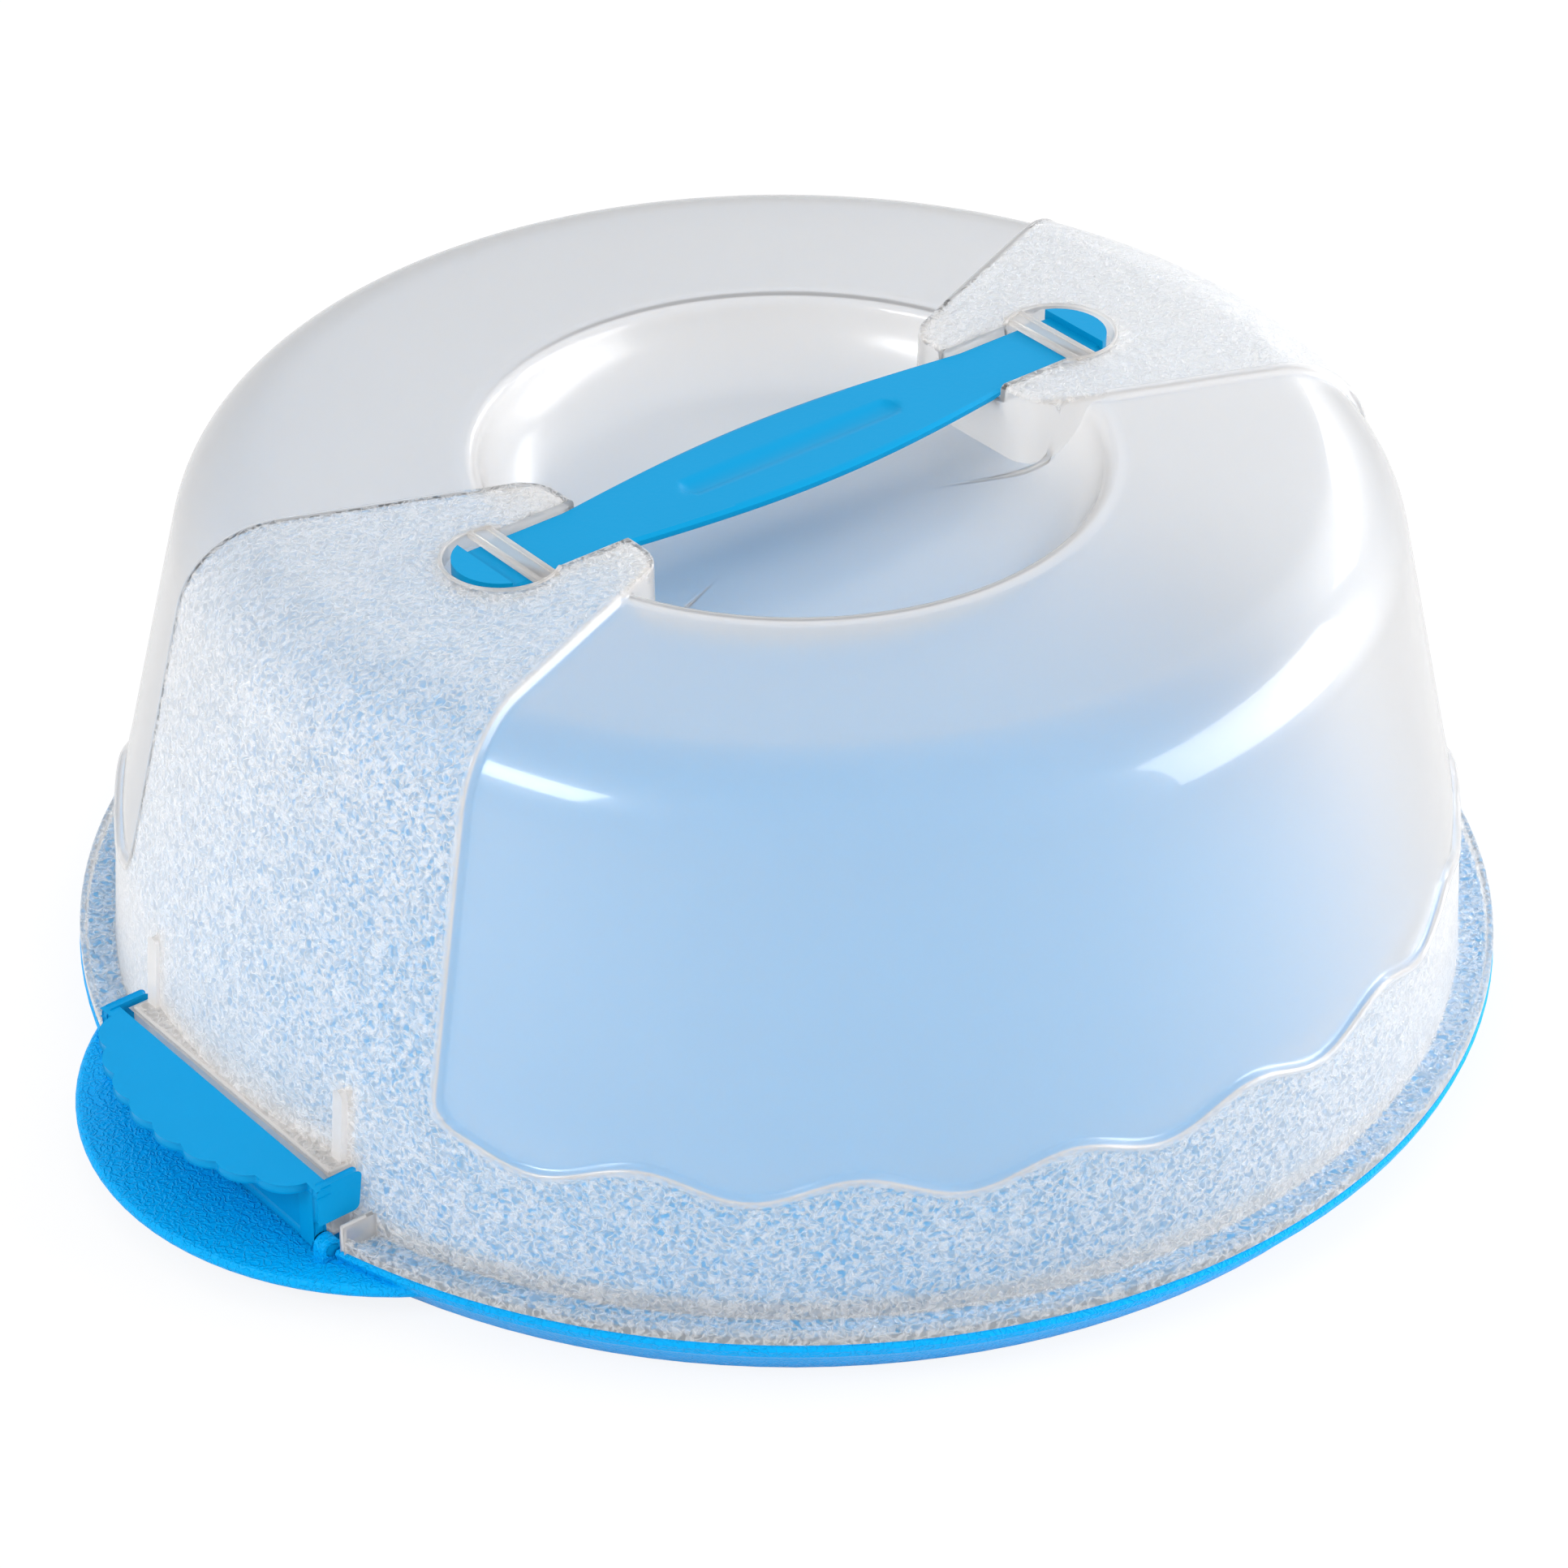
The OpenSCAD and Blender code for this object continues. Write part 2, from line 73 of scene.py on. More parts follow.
eye = Vector((-610.4, -732.5, 685.5)) * MM
target = Vector((1.52, 3.32, 40.0)) * MM
camera_data = bpy.data.cameras.new("camera")
camera_data.lens = 111.63
camera_data.sensor_width = 36.0
camera_data.clip_end = 20.0
camera = bpy.data.objects.new("camera", camera_data)
camera.rotation_mode = "QUATERNION"
camera.location = eye
camera.rotation_quaternion = aim(eye, target, math.radians(0.56))
bpy.context.scene.collection.objects.link(camera)
bpy.context.scene.camera = camera
print("camera distance:", round((target - eye).length, 3), "m")

# %% [markdown]
# ## Floor and light
#
# The picture is a cut-out on plain white. The floor is white to the camera and
# to reflections, and otherwise a pale matt sheet that keeps the soft shadow. The
# light is a studio's: a small soft box on the left that gives the short streak
# on the window, a tall one on the right for the wide reflection, a strip behind
# on the right, and a pale world to fill in. Their places come from mirroring the
# line of sight in the dome's shoulder at each highlight.

# %% Helpers for colours and nodes
def colour(code):
    """An sRGB hex code as the linear colour that Blender's sockets take."""
    parts = [int(code[i:i + 2], 16) / 255 for i in (1, 3, 5)]
    return tuple(c / 12.92 if c <= 0.04045 else ((c + 0.055) / 1.055) ** 2.4 for c in parts) + (1.0,)


def add_node(tree, kind, links=None, **settings):
    """Adds a node. A setting named like a socket sets that socket, any other is a property; links maps a socket to an output."""
    node = tree.nodes.new(kind)
    for name, value in settings.items():
        socket = node.inputs.get(name.replace("_", " ")) if name[0].isupper() else None
        if socket is not None:
            socket.default_value = value
        else:
            setattr(node, name, value)
    for name, output in (links or {}).items():
        tree.links.new(output, node.inputs[name])
    return node


def new_material(name):
    """An empty node material, with its tree and its output node."""
    material = bpy.data.materials.new(name)
    material.use_nodes = True
    tree = material.node_tree
    tree.nodes.clear()
    return material, tree, tree.nodes.new("ShaderNodeOutputMaterial")


# %% White floor
def white_floor_material():
    material, tree, out = new_material("studio_paper")
    rays = add_node(tree, "ShaderNodeLightPath")
    seen = add_node(tree, "ShaderNodeMath", {0: rays.outputs["Is Camera Ray"], 1: rays.outputs["Is Glossy Ray"]}, operation="MAXIMUM")
    seen = add_node(tree, "ShaderNodeMath", {0: seen.outputs[0], 1: rays.outputs["Is Transmission Ray"]}, operation="MAXIMUM")
    share = add_node(tree, "ShaderNodeMath", {0: seen.outputs[0]}, operation="MULTIPLY")
    share.inputs[1].default_value = 0.86
    paper = add_node(tree, "ShaderNodeBsdfDiffuse", Color=(0.9, 0.9, 0.9, 1.0))
    glow = add_node(tree, "ShaderNodeEmission", Strength=1.0)
    mix = add_node(tree, "ShaderNodeMixShader", {"Fac": share.outputs[0], 1: paper.outputs[0], 2: glow.outputs[0]})
    tree.links.new(mix.outputs[0], out.inputs["Surface"])
    return material


bm = bmesh.new()
bmesh.ops.create_circle(bm, cap_ends=True, segments=96, radius=6.0)
floor_mesh = bpy.data.meshes.new("floor")
bm.to_mesh(floor_mesh)
bm.free()
floor = bpy.data.objects.new("floor", floor_mesh)
floor_mesh.materials.append(white_floor_material())
floor_mesh.transform(Matrix.Translation((0, 0, -0.0002)))
bpy.context.scene.collection.objects.link(floor)

# %% World
world = bpy.data.worlds.new("studio")
bpy.context.scene.world = world
world.use_nodes = True
tree = world.node_tree
tree.nodes.clear()
rays = add_node(tree, "ShaderNodeLightPath")
clear = add_node(tree, "ShaderNodeMath", {0: rays.outputs["Is Camera Ray"], 1: rays.outputs["Is Transmission Ray"]}, operation="MAXIMUM")
fill = add_node(tree, "ShaderNodeBackground", Color=(1.0, 1.0, 1.0, 1.0), Strength=0.96)
white = add_node(tree, "ShaderNodeBackground", Color=(1.0, 1.0, 1.0, 1.0), Strength=1.0)
mix = add_node(tree, "ShaderNodeMixShader", {"Fac": clear.outputs[0], 1: fill.outputs[0], 2: white.outputs[0]})
out = add_node(tree, "ShaderNodeOutputWorld", {"Surface": mix.outputs[0]})

# %% Lamps
def soft_box(name, place, aim_at, width, height, watts, tint="#FFFFFF"):
    """A rectangular area lamp that points at a spot, all in metres."""
    data = bpy.data.lights.new(name, "AREA")
    data.shape = "RECTANGLE"
    data.size = width
    data.size_y = height
    data.energy = watts
    data.color = colour(tint)[:3]
    lamp = bpy.data.objects.new(name, data)
    lamp.location = place
    lamp.rotation_euler = (Vector(aim_at) - Vector(place)).to_track_quat("-Z", "Y").to_euler()
    bpy.context.scene.collection.objects.link(lamp)
    return lamp


soft_box("key_box", (-1.45, 0.06, 1.25), (0, 0, 0.1), 0.85, 0.42, 11.5)
soft_box("side_box", (1.3, -1.05, 0.53), (0, 0, 0.1), 1.6, 1.04, 28.0)
soft_box("rim_box", (1.5, 0.45, 0.85), (0, 0, 0.1), 0.9, 0.25, 5.0)

# %% [markdown]
# ## Blue polypropylene
#
# The tray, latches and strap are polypropylene with a bright blue pigment. It is
# an opaque, slightly waxy plastic: a soft gloss, and an index of 1.49. The mould
# of the tray's lugs is etched with a fine leather grain, the latches and the
# strap come from a smooth, satin mould.

# %% Blue polypropylene
def leather_height(tree, size_mm):
    """Height of a wrinkled leather grain, 1 on its raised wrinkles. Reads Object coordinates, which are in metres."""
    place = add_node(tree, "ShaderNodeTexCoord")
    noise = add_node(tree, "ShaderNodeTexNoise", {"Vector": place.outputs["Object"]},
                     Scale=1000.0 / size_mm, Detail=1.5, Roughness=0.5, Distortion=0.4)
    middle = add_node(tree, "ShaderNodeMath", {0: noise.outputs[0]}, operation="SUBTRACT")
    middle.inputs[1].default_value = 0.5
    away = add_node(tree, "ShaderNodeMath", {0: middle.outputs[0]}, operation="ABSOLUTE")
    height = add_node(tree, "ShaderNodeMath", {0: away.outputs[0]}, operation="MULTIPLY_ADD", use_clamp=True)
    height.inputs[1].default_value = -8.0
    height.inputs[2].default_value = 1.0
    return height


def leather_bump(tree, size_mm, depth_mm, strength):
    """Bump of a wrinkled leather grain whose wrinkles are about size_mm apart."""
    height = leather_height(tree, size_mm)
    return add_node(tree, "ShaderNodeBump", {"Height": height.outputs[0]}, Distance=depth_mm * MM, Strength=strength)


def blue_polypropylene(name, code, roughness, grain_mm, depth_mm, strength):
    material, tree, out = new_material(name)
    grain = leather_bump(tree, grain_mm, depth_mm, strength)
    place = add_node(tree, "ShaderNodeTexCoord")
    cloud = add_node(tree, "ShaderNodeTexNoise", {"Vector": place.outputs["Object"]}, Scale=18.0, Detail=2.0)
    tint = add_node(tree, "ShaderNodeMix", {"Factor": cloud.outputs[0]}, data_type="RGBA")
    base = colour(code)
    tint.inputs["A"].default_value = tuple(c * 0.95 for c in base[:3]) + (1.0,)
    tint.inputs["B"].default_value = tuple(min(1.0, c * 1.05) for c in base[:3]) + (1.0,)
    body = add_node(tree, "ShaderNodeBsdfPrincipled",
                    {"Base Color": tint.outputs["Result"], "Normal": grain.outputs[0]},
                    Roughness=roughness, IOR=1.49)
    body.inputs["Specular IOR Level"].default_value = 0.08
    tree.links.new(body.outputs[0], out.inputs["Surface"])
    return material


# One pigment throughout. The codes differ only to even out the lamps: the tray's blue is set brighter, painted light
# for its lugs in the latches' shade, and the latch and strap blues darker, painted shade for their lit upper faces.
tray_blue = blue_polypropylene("polypropylene_blue_grained", "#00A2E8", 0.38, 1.6, 0.2, 1.0)
latch_blue = blue_polypropylene("polypropylene_blue_satin", "#008CC6", 0.34, 3.0, 0.03, 0.3)
strap_blue = blue_polypropylene("polypropylene_blue_strap", "#008BBF", 0.36, 3.0, 0.03, 0.3)

for name, material in (("base_tray", tray_blue), ("latch_left", latch_blue), ("latch_right", latch_blue),
                       ("strap_grip", strap_blue), ("strap_end_left", strap_blue), ("strap_end_right", strap_blue)):
    data = nodes[name].data
    data.materials.clear()
    data.materials.append(material)

# %% [markdown]
# ## Natural polypropylene
#
# The dome is polypropylene with no pigment. In a 1.5 mm wall it is a milky
# clear plastic: it lets most of the light through, blurs what lies behind it
# and looks whiter where it is seen edge on. Its windows come from a polished
# mould and mirror the lamps. Its panels come from an etched mould, so they
# scatter light in small wrinkles, and the raised wrinkles are also painted
# whiter, a painted highlight on each wrinkle.

# %% Natural polypropylene
def natural_polypropylene(name, roughness, milk, edge_milk, grain=None, polish=0.05, clear=0.84):
    """Milky clear plastic: rough glass mixed with a white that scatters both ways. Shadow rays pass through it."""
    material, tree, out = new_material(name)
    links = {}
    if grain:
        links["Normal"] = leather_bump(tree, *grain).outputs[0]
    glass = add_node(tree, "ShaderNodeBsdfPrincipled", links, Roughness=roughness, IOR=1.38)
    glass.inputs["Base Color"].default_value = colour("#FAF6F1")
    glass.inputs["Transmission Weight"].default_value = 1.0
    face = add_node(tree, "ShaderNodeBsdfDiffuse", links, Color=colour("#F6F4F4"))
    through = add_node(tree, "ShaderNodeBsdfTranslucent", links, Color=colour("#F5F4F3"))
    white = add_node(tree, "ShaderNodeMixShader", {1: face.outputs[0], 2: through.outputs[0]}, Fac=0.5)
    rim = add_node(tree, "ShaderNodeLayerWeight", Blend=0.5)
    rim = add_node(tree, "ShaderNodeMath", {0: rim.outputs["Facing"]}, operation="POWER")
    rim.inputs[1].default_value = 2.5
    amount = add_node(tree, "ShaderNodeMath", {0: rim.outputs[0]}, operation="MULTIPLY_ADD", use_clamp=True)
    amount.inputs[1].default_value = edge_milk
    if grain:
        # The raised wrinkles get more white milk: a painted highlight on each wrinkle.
        wrinkle_highlight = add_node(tree, "ShaderNodeMath", {0: leather_height(tree, grain[0]).outputs[0]}, operation="MULTIPLY_ADD")
        wrinkle_highlight.inputs[1].default_value = 0.55
        wrinkle_highlight.inputs[2].default_value = milk - 0.2
        tree.links.new(wrinkle_highlight.outputs[0], amount.inputs[2])
    else:
        amount.inputs[2].default_value = milk
    body = add_node(tree, "ShaderNodeMixShader", {"Fac": amount.outputs[0], 1: glass.outputs[0], 2: white.outputs[0]})
    gloss = add_node(tree, "ShaderNodeBsdfGlossy", Roughness=polish if not grain else 0.4)
    shine = add_node(tree, "ShaderNodeFresnel", IOR=1.4 if not grain else 1.15)
    coated = add_node(tree, "ShaderNodeMixShader", {"Fac": shine.outputs[0], 1: body.outputs[0], 2: gloss.outputs[0]})
    rays = add_node(tree, "ShaderNodeLightPath")
    passing = add_node(tree, "ShaderNodeMath", {0: rays.outputs["Is Shadow Ray"]}, operation="MULTIPLY")
    passing.inputs[1].default_value = clear
    veil = add_node(tree, "ShaderNodeBsdfTransparent")
    mix = add_node(tree, "ShaderNodeMixShader", {"Fac": passing.outputs[0], 1: coated.outputs[0], 2: veil.outputs[0]})
    tree.links.new(mix.outputs[0], out.inputs["Surface"])
    return material


window_clear = natural_polypropylene("polypropylene_natural_polished", 0.28, 0.24, 0.35)
dish_clear = natural_polypropylene("polypropylene_natural_satin", 0.30, 0.27, 0.30, polish=0.22, clear=0.88)
grained_clear = natural_polypropylene("polypropylene_natural_grained", 0.42, 0.26, 0.25, (1.7, 0.35, 0.7), clear=0.87)
# Milkier than the windows, as a painted highlight along the panels' beads and the dish's rim.
bead_highlight_clear = natural_polypropylene("polypropylene_natural_bead_highlight", 0.35, 0.42, 0.25)
ledge_clear = natural_polypropylene("polypropylene_natural_ledge", 0.30, 0.17, 0.20, (2.0, 0.4, 0.8), clear=0.97)
shelf_clear = natural_polypropylene("polypropylene_natural_shelf", 0.30, 0.26, 0.30, clear=0.92)
# Used for the ribs and for the white rods, which are a painted highlight along edges.
thick_and_highlight_clear = natural_polypropylene("polypropylene_natural_thick_and_painted_highlight", 0.35, 0.58, 0.20)

# %% [markdown]
# ## The dome
#
# The real dome is one thin moulding. Its end panels and the band round its foot
# stand 1.6 mm proud of the windows, with a soft bead along every edge, and the
# panels run on over the finger dish as two square tongues. It could be cut from
# solids with booleans, but the soft edges would be lost. Here a profile is spun
# about the axis, and then each vertex is moved: columns are drawn together at
# the panels' edges, rows are bent along the wave, and the raised areas are
# pushed out along the profile's normal.

# %% Shape of the smooth dome, in millimetres
PANEL = math.radians(22.0)
STEP = 1.6
CROWN_Z = 134.3
DISH_Z = 118.3
LEAN = math.radians(12.9)
SHOULDER = (118.985, 112.3, 22.0)
WAVE_Z = 45.5
TONGUE_X = 54.0
TONGUE_ROUND = 10.0


def smooth(low, high, x):
    """0 below low, 1 above high, and an S curve between them."""
    t = min(1.0, max(0.0, (x - low) / (high - low)))
    return t * t * (3.0 - 2.0 * t)


def wall_radius(z):
    """Radius of the smooth wall: it leans 12.9 degrees above the knee and 4 below, with a round knee between them."""
    knee = smooth(42.0, 58.0, z)
    low = 155.8 + (50.1 - z) * 2.6 / 37.8
    high = 155.8 - (z - 50.1) * math.tan(LEAN)
    return low * (1.0 - knee) + high * knee


def dish_height(r):
    """Height of the dish: flat to 53 mm, an 18 mm cove, then a steep side up to the rim."""
    if r <= 53.0:
        return DISH_Z
    if r < 53.0 + 18.0 * math.sin(math.radians(70.0)):
        return DISH_Z + 18.0 - math.sqrt(324.0 - (r - 53.0) ** 2)
    return min(CROWN_Z, 130.14 + (r - 69.91) * 2.75)


floor_rows = [(r, DISH_Z) for r in (0.0, 8.0, 20.0, 32.0, 42.0, 49.0, 53.0)]
cove_rows = [(53.0 + 18.0 * math.sin(math.radians(a)), DISH_Z + 18.0 - 18.0 * math.cos(math.radians(a)))
             for a in (10, 19, 27, 35, 42, 49, 56, 63, 70)]
rim_rows = [(70.4, 131.5), (70.8, 132.5), (71.4, 133.4), (72.2, 134.05), (73.1, 134.4), (74.0, 134.45), (74.9, CROWN_Z)]
crown_rows = [(r, CROWN_Z) for r in (76.5, 79.0, 82.0, 86.0, 90.0, 93.5, 97.0, 101.0, 105.0, 109.0, 113.0, 116.5)]
shoulder_rows = [(SHOULDER[0] + SHOULDER[2] * math.sin(math.radians(a)), SHOULDER[1] + SHOULDER[2] * math.cos(math.radians(a)))
                 for a in (0, 4, 9, 15, 21, 27, 33, 39, 45, 51, 57, 63, 69, 74, 77.1)]
wall_rows = [(wall_radius(z), z) for z in (113.5, 109.0, 104.0, 99.0, 94.0, 89.0, 84.0, 79.0, 74.0, 70.0, 66.0, 63.0)]
wave_rows = [(wall_radius(WAVE_Z + d), WAVE_Z + d)
             for d in (14.5, 12.0, 9.6, 7.4, 5.6, 4.2, 3.1, 2.2, 1.6, 1.1, 0.75, 0.4, 0.1, -0.25, -0.6, -1.0, -1.5,
                       -2.2, -3.2, -4.6, -6.5, -9.0, -12.5, -17.0, -22.0, -27.0)]
foot_rows = [(wall_radius(z), z) for z in (15.5, 13.6, 12.3)]
rows = floor_rows + cove_rows + rim_rows + crown_rows + shoulder_rows + wall_rows + wave_rows + foot_rows
first_crown = len(floor_rows) + len(cove_rows) + len(rim_rows)
print("rows in the dome's profile:", len(rows))

# %% Columns of the dome
near_edge = [-1.2, -0.85, -0.6, -0.42, -0.28, -0.16, -0.06, 0.04, 0.14, 0.25, 0.38, 0.55, 0.8, 1.1, 1.5]
quarter = ([0.8 + 1.6 * i for i in range(10)] + [16.6, 17.3, 18.0, 18.8, 19.6, 20.3] + [22.0 + d for d in near_edge]
           + [23.5 + (90.0 - 23.5) * (i + 0.5) / 58.0 for i in range(58)])
columns = []
for turn in range(4):
    part = quarter if turn % 2 == 0 else [90.0 - q for q in reversed(quarter)]
    columns += [math.radians(90.0 * turn + q) for q in part]
print("columns:", len(columns))


def off_end(azimuth):
    """Angle away from the nearer end of the X axis, always positive."""
    return min(abs(math.remainder(azimuth, 2 * math.pi)), abs(math.remainder(azimuth - math.pi, 2 * math.pi)))


def wave_height(azimuth):
    """Height of the wavy edge over its middle: eight waves under each window, crests at its ends."""
    angle = off_end(azimuth)
    wave = 2.9 * math.cos(2 * math.pi * (math.degrees(angle) - 90.0) / 17.0)
    return wave * smooth(PANEL - 0.12, PANEL - 0.01, angle)


def tongue_front(azimuth):
    """Radius at which a ray from the axis meets a tongue's front edge, with its round corners."""
    angle = off_end(azimuth)
    mid_x = TONGUE_X + TONGUE_ROUND
    mid_y = mid_x * math.tan(PANEL) - TONGUE_ROUND / math.cos(PANEL)
    if TONGUE_X * math.tan(angle) <= mid_y:
        return TONGUE_X / math.cos(angle)
    along = mid_x * math.cos(angle) + mid_y * math.sin(angle)
    aside = mid_x * math.sin(angle) - mid_y * math.cos(angle)
    return along - math.sqrt(max(0.0, TONGUE_ROUND ** 2 - aside ** 2))


def tongue_row(i, azimuth):
    """Radius and height of row i of the dish where a tongue stands over it."""
    front = tongue_front(azimuth)
    at = [0.0, 0.15, 0.38, 0.6, 0.8, 0.93, 0.985]
    if i < len(at):
        r = (front - 0.7) * at[i]
        return r, dish_height(r)
    low = dish_height(front - 0.6)
    top = CROWN_Z + STEP
    steps = [(-0.6, 0.0), (-0.45, 0.25), (-0.3, 0.5), (-0.15, 0.75), (0.0, 1.0)]
    i -= len(at)
    if i < len(steps):
        return front + steps[i][0], low + (top - 1.3 - low) * steps[i][1]
    i -= len(steps)
    bend = [20, 40, 60, 78, 90]
    if i < len(bend):
        a = math.radians(bend[i])
        return front + 1.3 * (1 - math.cos(a)), top - 1.3 + 1.3 * math.sin(a)
    i -= len(bend)
    left = first_crown - len(at) - len(steps) - len(bend)
    return front + 1.3 + (74.9 - front - 1.3) * (i + 1) / left, top


def window_depth(azimuth, r, z):
    """How far inside a window a point lies, in millimetres: negative on the raised panels and band."""
    side = (off_end(azimuth) - PANEL) * r
    above = z - WAVE_Z - wave_height(azimuth)
    corner = 6.0
    if side < corner and above < corner and side > -corner:
        return corner - math.hypot(corner - side, corner - above)
    return min(side, above)


def dome_point(i, azimuth):
    """Place of row i of the outer skin at an azimuth, and how deep in a window it lies."""
    r, z = rows[i]
    if WAVE_Z - 20.0 < z < WAVE_Z + 20.0:
        z += wave_height(azimuth) * (1.0 - abs(z - WAVE_Z) / 20.0)
        r = wall_radius(z)
    before, after = rows[max(0, i - 1)], rows[min(len(rows) - 1, i + 1)]
    run, rise = after[0] - before[0], after[1] - before[1]
    length = math.hypot(run, rise)
    out_r, out_z = -rise / length, run / length
    depth = window_depth(azimuth, r, z) if i >= first_crown else (off_end(azimuth) - PANEL) * max(r, 50.0)
    if i >= first_crown:
        raised = STEP * (1.0 - smooth(-0.25, 1.0, depth))
        bead = 0.4 * math.exp(-((depth + 0.9) / 0.7) ** 2)
        lift = raised + bead
        r, z = r + out_r * lift, z + out_z * lift
    else:
        over = 1.0 - smooth(-0.35, 0.45, depth)
        if over > 0.0:
            tongue = tongue_row(i, azimuth)
            r = r * (1.0 - over) + tongue[0] * over
            z = z * (1.0 - over) + tongue[1] * over
    return r, z, depth


# %% Spin the dome
bm = bmesh.new()
ring = [bm.verts.new((r * MM, 0.0, z * MM)) for r, z in rows]
edges = [bm.edges.new((a, b)) for a, b in zip(ring, ring[1:])]
bmesh.ops.spin(bm, geom=ring + edges, cent=(0, 0, 0), axis=(0, 0, 1), dvec=(0, 0, 0),
               angle=2 * math.pi, steps=len(columns), use_merge=True)
bmesh.ops.remove_doubles(bm, verts=bm.verts, dist=1e-7)
row_finder = KDTree(len(rows))
for i, (r, z) in enumerate(rows):
    row_finder.insert((r, z, 0.0), i)
row_finder.balance()
deep = {}
turn = 2 * math.pi / len(columns)
for vert in bm.verts:
    r, z = math.hypot(vert.co.x, vert.co.y) / MM, vert.co.z / MM
    i = row_finder.find((r, z, 0.0))[1]
    azimuth = columns[round((math.atan2(vert.co.y, vert.co.x) % (2 * math.pi)) / turn) % len(columns)]
    new_r, new_z, depth = dome_point(i, azimuth)
    deep[vert] = (depth, i)
    vert.co = Vector((new_r * math.cos(azimuth), new_r * math.sin(azimuth), new_z)) * MM
for face in bm.faces:
    depth = sum(deep[v][0] for v in face.verts) / len(face.verts)
    row = max(deep[v][1] for v in face.verts)
    on_bead = -1.5 < depth < 0.0 and row > first_crown
    on_rim = first_crown - 5 <= row <= first_crown and depth > 0.3
    in_dish = row < first_crown - 5 and (depth > -0.1 or row <= 12)
    # Slot 2 goes to the beads and the dish's rim: its whiter milk paints a highlight along those edges.
    face.material_index = 3 if in_dish else 2 if on_bead or on_rim else 1 if depth < -0.1 and row > 12 else 0
    face.smooth = True
bmesh.ops.recalc_face_normals(bm, faces=bm.faces)
if sum(f.normal.z for f in bm.faces if f.calc_center_median().z > 0.13) < 0:
    bmesh.ops.reverse_faces(bm, faces=bm.faces)
dome_mesh = bpy.data.meshes.new("dome")
bm.to_mesh(dome_mesh)
bm.free()
dome = bpy.data.objects.new("dome", dome_mesh)
bpy.context.scene.collection.objects.link(dome)
for material in (window_clear, grained_clear, bead_highlight_clear, dish_clear):
    dome_mesh.materials.append(material)
print("dome:", len(dome_mesh.vertices), "vertices,", len(dome_mesh.polygons), "faces")

# %% [markdown]
# ## Pockets for the strap's ends
#
# Each end of the strap lies in a pocket moulded into the panel: a round well for
# the half-round stop and a straight trough that runs out over the tongue. Both
# are cut from the skin as one prism, whose floor and sides stay as new faces.
# Only then does the skin get its wall of 1.5 mm, so that the pockets have the
# same wall as the rest. A bridge with a bead along each edge spans the trough.

# %% Cut the pockets
STOP_X = 81.6
WELL_R = 12.8
TROUGH = 10.3


def pocket_outline(grow, inner_x=44.0, steps=40):
    """Corners of a pocket seen from above at the +X end, in millimetres, turning left."""
    radius, half = WELL_R + grow, TROUGH + grow
    start = math.asin(half / radius)
    arc = [(STOP_X - radius * math.cos(start + (2 * math.pi - 2 * start) * k / steps),
            -radius * math.sin(start + (2 * math.pi - 2 * start) * k / steps)) for k in range(steps + 1)]
    return [(inner_x, -half)] + arc + [(inner_x, half)]


def flip(end):
    """Turn that takes the +X end to the end asked for."""
    return Matrix.Rotation(0.0 if end > 0 else math.pi, 4, "Z")


def raise_outline(bm, outline, low, high):
    """A prism over an outline, from low to high, in millimetres."""
    verts = [bm.verts.new((x * MM, y * MM, low * MM)) for x, y in outline]
    base = bm.faces.new(verts)
    top = bmesh.ops.extrude_face_region(bm, geom=[base])
    bmesh.ops.translate(bm, vec=(0, 0, (high - low) * MM), verts=[v for v in top["geom"] if isinstance(v, bmesh.types.BMVert)])
    bmesh.ops.recalc_face_normals(bm, faces=bm.faces)
    return bm


bm = bmesh.new()
for end in (1, -1):
    part = bmesh.new()
    raise_outline(part, pocket_outline(0.0), 132.3, 142.0)
    part.transform(flip(end))
    piece = bpy.data.meshes.new("part")
    part.to_mesh(piece)
    part.free()
    bm.from_mesh(piece)
cutter_mesh = bpy.data.meshes.new("cutter")
bm.to_mesh(cutter_mesh)
bm.free()
cutter = bpy.data.objects.new("cutter", cutter_mesh)
bpy.context.scene.collection.objects.link(cutter)
cut = dome.modifiers.new("pockets", "BOOLEAN")
cut.operation = "DIFFERENCE"
cut.solver = "EXACT"
cut.object = cutter
wall = dome.modifiers.new("wall", "SOLIDIFY")
wall.thickness = 1.5 * MM
wall.offset = -1.0
bpy.context.view_layer.update()
finished = bpy.data.meshes.new_from_object(dome.evaluated_get(bpy.context.evaluated_depsgraph_get()))
dome.modifiers.clear()
dome.data = finished
bpy.data.objects.remove(cutter)
finished.set_sharp_from_angle(angle=math.radians(50))
print("dome with its wall:", len(finished.polygons), "faces")
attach(dome, "lid")
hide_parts("dome_lid")


# %% Helpers for small parts
def finish_piece(name, bm, material, body, ends=(1,), bevel=0.0, segments=2):
    """Turns a bmesh into a piece at each end asked for, with soft edges, and lets it ride on a body."""
    whole = bmesh.new()
    for end in ends:
        copy = bpy.data.meshes.new("copy")
        bm.to_mesh(copy)
        copy.transform(flip(end))
        whole.from_mesh(copy)
    bm.free()
    if bevel:
        sharp = [e for e in whole.edges if len(e.link_faces) == 2 and e.calc_face_angle() > math.radians(35)]
        bmesh.ops.bevel(whole, geom=sharp, offset=bevel * MM, affect="EDGES", segments=segments, profile=0.5,
                        material=-1, clamp_overlap=True)
    bmesh.ops.recalc_face_normals(whole, faces=whole.faces)
    mesh = bpy.data.meshes.new(name)
    whole.to_mesh(mesh)
    whole.free()
    for face in mesh.polygons:
        face.use_smooth = True
    piece = bpy.data.objects.new(name, mesh)
    bpy.context.scene.collection.objects.link(piece)
    mesh.materials.append(material)
    mesh.set_sharp_from_angle(angle=math.radians(40))
    if body:
        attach(piece, body)
    print(name, len(mesh.polygons), "faces")
    return piece


